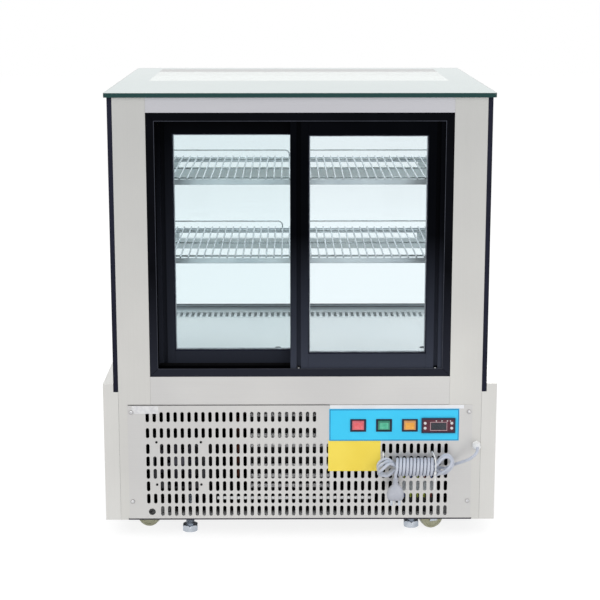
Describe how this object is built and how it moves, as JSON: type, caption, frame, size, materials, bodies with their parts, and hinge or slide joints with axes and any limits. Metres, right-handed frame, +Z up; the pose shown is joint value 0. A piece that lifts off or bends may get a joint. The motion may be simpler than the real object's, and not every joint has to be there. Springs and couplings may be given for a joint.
{
  "type": "refrigerated bakery display case",
  "caption": "Glass bakery display case on a stainless machine base, with sliding service doors, wire shelves, slotted rear panel, rocker switches, casters and a tied-up mains lead.",
  "frame": {"origin": "floor under the middle of the case, without its mains lead", "axes": "+X to the right seen from the service side, +Y towards the customer side, +Z up"},
  "size_m": [0.9, 0.8539, 1.04],
  "materials": {
    "stainless": "satin brushed sheet",
    "zinc_steel": "zinc plated",
    "black_aluminium": "satin black powder coat",
    "track_aluminium": "mill finish",
    "clear_glass": "clear float",
    "printed_glass": "tempered with a printed border",
    "edge_seal": "dark silicone",
    "interior_white": "pale enamel",
    "liner_white": "moulded liner",
    "chrome_wire": "bright plated wire",
    "shelf_steel": "bright",
    "light_diffuser": "opal",
    "machine_black": "semi gloss enamel",
    "fin_aluminium": "plain fins",
    "black_plastic": "moulded",
    "fan_screw_black": "black oxide",
    "copper": "drawn copper",
    "panel_blue": "printed film on sheet",
    "bezel_navy": "moulded",
    "rocker_red": "translucent moulding",
    "rocker_green": "translucent moulding",
    "rocker_amber": "translucent moulding",
    "controller_maroon": "dark window",
    "key_grey": "moulded",
    "white_nylon": "moulded",
    "cord_grey": "grey sheath",
    "plug_grey": "moulded",
    "cream_nylon": "moulded"
  },
  "bodies": {
    "case": {"base_pan": "zinc_steel", "base_cladding": "stainless", "rear_panel": "stainless", "panel_screws": "stainless", "fan_screws": "fan_screw_black", "rear_posts": "stainless", "lintel": "stainless", "sill_panel": "stainless", "insulated_deck": "liner_white", "deck_pans": "interior_white", "air_grille": "interior_white", "side_glass": "clear_glass", "front_glass": "clear_glass", "top_glass": "printed_glass", "glass_spacers": "edge_seal", "door_surround": "black_aluminium", "door_tracks": "track_aluminium", "shelf_uprights": "shelf_steel", "shelf_frames": "shelf_steel", "upper_racks": "chrome_wire", "lower_racks": "chrome_wire", "light_bars": "light_diffuser", "compressor": "machine_black", "condenser": "fin_aluminium", "fan_housing": "black_plastic", "refrigerant_pipes": "copper", "evaporator": "fin_aluminium", "control_plate": "panel_blue", "switch_bezels": "bezel_navy", "controller": "controller_maroon", "cable_gland": "white_nylon", "cord_lead": "cord_grey", "cord_hank": "cord_grey", "plug": "plug_grey", "caster_plates": "zinc_steel"},
    "left_door": {"left_door_frame": "black_aluminium", "left_door_glass": "clear_glass", "left_door_spacer": "track_aluminium"},
    "right_door": {"right_door_frame": "black_aluminium", "right_door_glass": "clear_glass", "right_door_spacer": "track_aluminium"},
    "condenser_rotor": {"condenser_fan": "black_plastic"},
    "evaporator_rotor": {"evaporator_fan": "black_plastic"},
    "red_switch": {"red_rocker": "rocker_red"},
    "green_switch": {"green_rocker": "rocker_green"},
    "amber_switch": {"amber_rocker": "rocker_amber"},
    "left_leveller": {"left_foot": "zinc_steel"},
    "right_leveller": {"right_foot": "zinc_steel"},
    "button_upper_left": {"key_upper_left": "key_grey"},
    "button_lower_left": {"key_lower_left": "key_grey"},
    "button_upper_right": {"key_upper_right": "key_grey"},
    "button_lower_right": {"key_lower_right": "key_grey"},
    "rear_left_swivel": {"rear_left_fork": "zinc_steel"},
    "rear_left_roller": {"rear_left_wheel": "cream_nylon"},
    "rear_right_swivel": {"rear_right_fork": "zinc_steel"},
    "rear_right_roller": {"rear_right_wheel": "cream_nylon"},
    "front_left_swivel": {"front_left_fork": "zinc_steel"},
    "front_left_roller": {"front_left_wheel": "cream_nylon"},
    "front_right_swivel": {"front_right_fork": "zinc_steel"},
    "front_right_roller": {"front_right_wheel": "cream_nylon"}
  },
  "joints": [
    {"name": "left_door_slide", "type": "slide", "parent": "case", "child": "left_door", "axis": [1, 0, 0], "range_m": [0, 0.3]},
    {"name": "right_door_slide", "type": "slide", "parent": "case", "child": "right_door", "axis": [-1, 0, 0], "range_m": [0, 0.3]},
    {"name": "red_switch_tip", "type": "hinge", "parent": "case", "child": "red_switch", "pos_m": [0.133, -0.391, 0.279], "axis": [-1, 0, 0], "range_deg": [0, 16]},
    {"name": "green_switch_tip", "type": "hinge", "parent": "case", "child": "green_switch", "pos_m": [0.1922, -0.391, 0.279], "axis": [-1, 0, 0], "range_deg": [0, 16]},
    {"name": "amber_switch_tip", "type": "hinge", "parent": "case", "child": "amber_switch", "pos_m": [0.2514, -0.391, 0.279], "axis": [-1, 0, 0], "range_deg": [0, 16]},
    {"name": "button_upper_left_press", "type": "slide", "parent": "case", "child": "button_upper_left", "axis": [0, 1, 0], "range_m": [0, 0.0008], "stiffness_N_per_m": 400, "springref_m": -0.0008},
    {"name": "button_lower_left_press", "type": "slide", "parent": "case", "child": "button_lower_left", "axis": [0, 1, 0], "range_m": [0, 0.0008], "stiffness_N_per_m": 400, "springref_m": -0.0008},
    {"name": "button_upper_right_press", "type": "slide", "parent": "case", "child": "button_upper_right", "axis": [0, 1, 0], "range_m": [0, 0.0008], "stiffness_N_per_m": 400, "springref_m": -0.0008},
    {"name": "button_lower_right_press", "type": "slide", "parent": "case", "child": "button_lower_right", "axis": [0, 1, 0], "range_m": [0, 0.0008], "stiffness_N_per_m": 400, "springref_m": -0.0008},
    {"name": "rear_left_turn", "type": "hinge", "parent": "case", "child": "rear_left_swivel", "pos_m": [-0.335, -0.3, 0.064], "axis": [0, 0, 1], "continuous": true},
    {"name": "rear_left_roll", "type": "hinge", "parent": "rear_left_swivel", "child": "rear_left_roller", "pos_m": [-0.35878, -0.29228, 0.028], "axis": [0.309, 0.9511, 0], "continuous": true},
    {"name": "rear_right_turn", "type": "hinge", "parent": "case", "child": "rear_right_swivel", "pos_m": [0.335, -0.3, 0.064], "axis": [0, 0, 1], "continuous": true},
    {"name": "rear_right_roll", "type": "hinge", "parent": "rear_right_swivel", "child": "rear_right_roller", "pos_m": [0.31136, -0.30814, 0.028], "axis": [-0.3256, 0.9455, 0], "continuous": true},
    {"name": "front_left_turn", "type": "hinge", "parent": "case", "child": "front_left_swivel", "pos_m": [-0.335, 0.32, 0.064], "axis": [0, 0, 1], "continuous": true},
    {"name": "front_left_roll", "type": "hinge", "parent": "front_left_swivel", "child": "front_left_roller", "pos_m": [-0.36, 0.32, 0.028], "axis": [0, 1, 0], "continuous": true},
    {"name": "front_right_turn", "type": "hinge", "parent": "case", "child": "front_right_swivel", "pos_m": [0.335, 0.32, 0.064], "axis": [0, 0, 1], "continuous": true},
    {"name": "front_right_roll", "type": "hinge", "parent": "front_right_swivel", "child": "front_right_roller", "pos_m": [0.31, 0.32, 0.028], "axis": [0, 1, 0], "continuous": true},
    {"name": "left_foot_screw", "type": "slide", "parent": "case", "child": "left_leveller", "axis": [0, 0, 1], "range_m": [0, 0.015]},
    {"name": "right_foot_screw", "type": "slide", "parent": "case", "child": "right_leveller", "axis": [0, 0, 1], "range_m": [-0.0095, 0.01]},
    {"name": "condenser_fan_spin", "type": "hinge", "parent": "case", "child": "condenser_rotor", "pos_m": [-0.279, -0.377, 0.188], "axis": [0, 1, 0], "continuous": true},
    {"name": "evaporator_fan_spin", "type": "hinge", "parent": "case", "child": "evaporator_rotor", "pos_m": [0.16, 0.235, 0.24], "axis": [0, 1, 0], "continuous": true}
  ]
}
